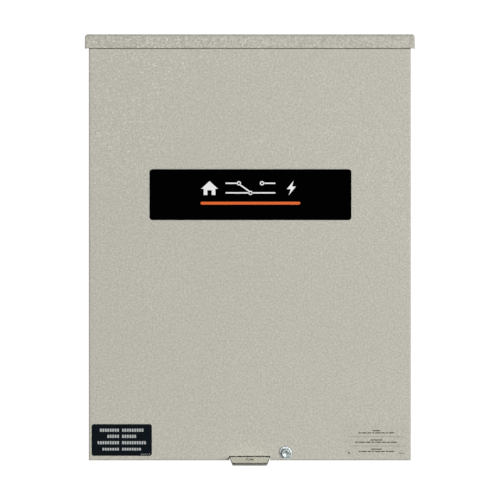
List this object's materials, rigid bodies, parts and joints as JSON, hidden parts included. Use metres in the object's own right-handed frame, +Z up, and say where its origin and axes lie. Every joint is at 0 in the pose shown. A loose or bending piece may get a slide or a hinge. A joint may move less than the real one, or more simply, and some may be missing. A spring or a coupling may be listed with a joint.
{
  "type": "transfer switch",
  "caption": "Wall-mounted two-pole transfer switch in a rain-proof sheet steel enclosure with a drip hood, swinging front cover and padlock tab.",
  "frame": {"origin": "on the wall plane, at the centre of the four wall fixing holes", "axes": "+Z up, the front cover faces -Y, +X to the right when looking at the cover"},
  "size_m": [0.371, 0.2079, 0.48],
  "materials": {
    "enclosure_paint": "textured beige powder coat",
    "zinc_steel": "bright zinc plate",
    "galvanised_steel": "galvanised, dull",
    "nameplate_ink": null,
    "load_label_ink": "black vinyl with blank bars",
    "clear_label": "clear film with dark blank bars",
    "diagram_paper": "printed paper, schematic lines only",
    "moulded_base": "thermoset moulding",
    "white_nylon": "moulded nylon",
    "insulated_shaft": "glass polyester",
    "copper": "tinned copper strap, drawn",
    "silver_contact": "silver alloy contact",
    "red_grip": "moulded red",
    "lug_aluminium": "extruded, tin plated",
    "arc_fibre": "vulcanised fibre",
    "arc_steel": "zinc plated sheet",
    "coil_tape": "yellow winding tape",
    "plunger_steel": "turned steel",
    "black_plastic": "moulded",
    "circuit_board": "green solder mask",
    "component_plastic": "moulded cases",
    "green_plastic": "moulded",
    "clear_plastic": "clear polycarbonate",
    "fuse_ceramic": "glazed tube",
    "brass_clip": "plated brass",
    "yellow_wire": "wire insulation",
    "red_wire": "wire insulation",
    "grey_wire": "wire insulation",
    "white_wire": "wire insulation"
  },
  "bodies": {
    "enclosure": {"enclosure_body": "enclosure_paint", "knockout_slugs": "enclosure_paint", "hasp_plate": "zinc_steel", "drip_hood": "enclosure_paint", "cover_nut": "zinc_steel", "mounting_plate": "galvanised_steel", "plate_standoffs": "zinc_steel", "plate_fasteners": "zinc_steel", "mech_base": "moulded_base", "bearing_bushes": "white_nylon", "utility_contacts": "copper", "generator_contacts": "copper", "fixed_contact_tips": "silver_contact", "load_buses": "copper", "utility_lugs": "lug_aluminium", "generator_lugs": "lug_aluminium", "load_lugs": "lug_aluminium", "lug_set_screws": "zinc_steel", "arc_chute_frames": "arc_fibre", "arc_chute_plates": "arc_steel", "solenoid_frame": "galvanised_steel", "coil_bobbins": "white_nylon", "coil_windings": "coil_tape", "limit_switches": "black_plastic", "control_board": "circuit_board", "board_components": "component_plastic", "board_terminals": "green_plastic", "relay_socket": "black_plastic", "relay_case": "clear_plastic", "relay_magnet": "copper", "fuse_block": "black_plastic", "fuses": "fuse_ceramic", "fuse_clips": "brass_clip", "terminal_strip": "black_plastic", "terminal_screws": "brass_clip", "neutral_insulator": "moulded_base", "neutral_and_ground_bars": "lug_aluminium", "sense_wires": "yellow_wire", "solenoid_wires": "red_wire", "board_wires": "grey_wire", "neutral_and_ground_wires": "white_wire"},
    "cover": {"front_cover": "enclosure_paint", "nameplate": "nameplate_ink", "load_label": "load_label_ink", "notice_label": "clear_label", "wiring_diagram_label": "diagram_paper", "cover_pivot_studs": "zinc_steel"},
    "captive_washer": {"screw_washer": "zinc_steel"},
    "captive_screw": {"cover_screw": "zinc_steel"},
    "rotor": {"rotor_shaft": "insulated_shaft", "contact_arms": "copper", "moving_contact_tips": "silver_contact", "rotor_crank": "zinc_steel", "handle_lever": "zinc_steel", "handle_grip": "red_grip"},
    "plunger": {"solenoid_plunger": "plunger_steel"},
    "lower_button": {"lower_limit_button": "red_grip"},
    "upper_button": {"upper_limit_button": "red_grip"},
    "armature": {"relay_armature": "zinc_steel"},
    "push_button": {"test_button": "black_plastic"}
  },
  "joints": [
    {"name": "cover_swing", "type": "hinge", "parent": "enclosure", "child": "cover", "pos_m": [0, -0.1689, 0.215], "axis": [-1, 0, 0], "range_deg": [0, 90]},
    {"name": "screw_travel", "type": "slide", "parent": "cover", "child": "captive_washer", "axis": [0, -1, 0], "range_m": [0, 0.012]},
    {"name": "screw_turn", "type": "hinge", "parent": "captive_washer", "child": "captive_screw", "pos_m": [0.0405, -0.1769, -0.2308], "axis": [0, -1, 0], "range_deg": [0, 3402]},
    {"name": "transfer_throw", "type": "hinge", "parent": "enclosure", "child": "rotor", "pos_m": [0, -0.076, 0.07], "axis": [1, 0, 0], "range_deg": [0, 50]},
    {"name": "plunger_slide", "type": "slide", "parent": "enclosure", "child": "plunger", "axis": [0, 0, 1], "range_m": [0, 0.017]},
    {"name": "lower_button_slide", "type": "slide", "parent": "enclosure", "child": "lower_button", "axis": [0, 0, 1], "range_m": [0, 0.00201]},
    {"name": "upper_button_slide", "type": "slide", "parent": "enclosure", "child": "upper_button", "axis": [0, 0, 1], "range_m": [0, 0.00201]},
    {"name": "relay_pull_in", "type": "hinge", "parent": "enclosure", "child": "armature", "pos_m": [-0.054, -0.0692, -0.1], "axis": [1, 0, 0], "range_deg": [0, 8], "stiffness_Nm_per_rad": 0.05},
    {"name": "test_button_press", "type": "slide", "parent": "enclosure", "child": "push_button", "axis": [0, 1, 0], "range_m": [0, 0.0006], "stiffness_N_per_m": 2000}
  ],
  "couplings": [
    {"joint": "screw_turn", "follows": "screw_travel", "rad_per_m": 4947.4},
    {"joint": "plunger_slide", "follows": "transfer_throw", "m_per_rad": 0.019371},
    {"joint": "lower_button_slide", "follows": "transfer_throw", "m_per_rad": 0.0022918},
    {"joint": "upper_button_slide", "follows": "transfer_throw", "m_per_rad": 0.0022918}
  ]
}
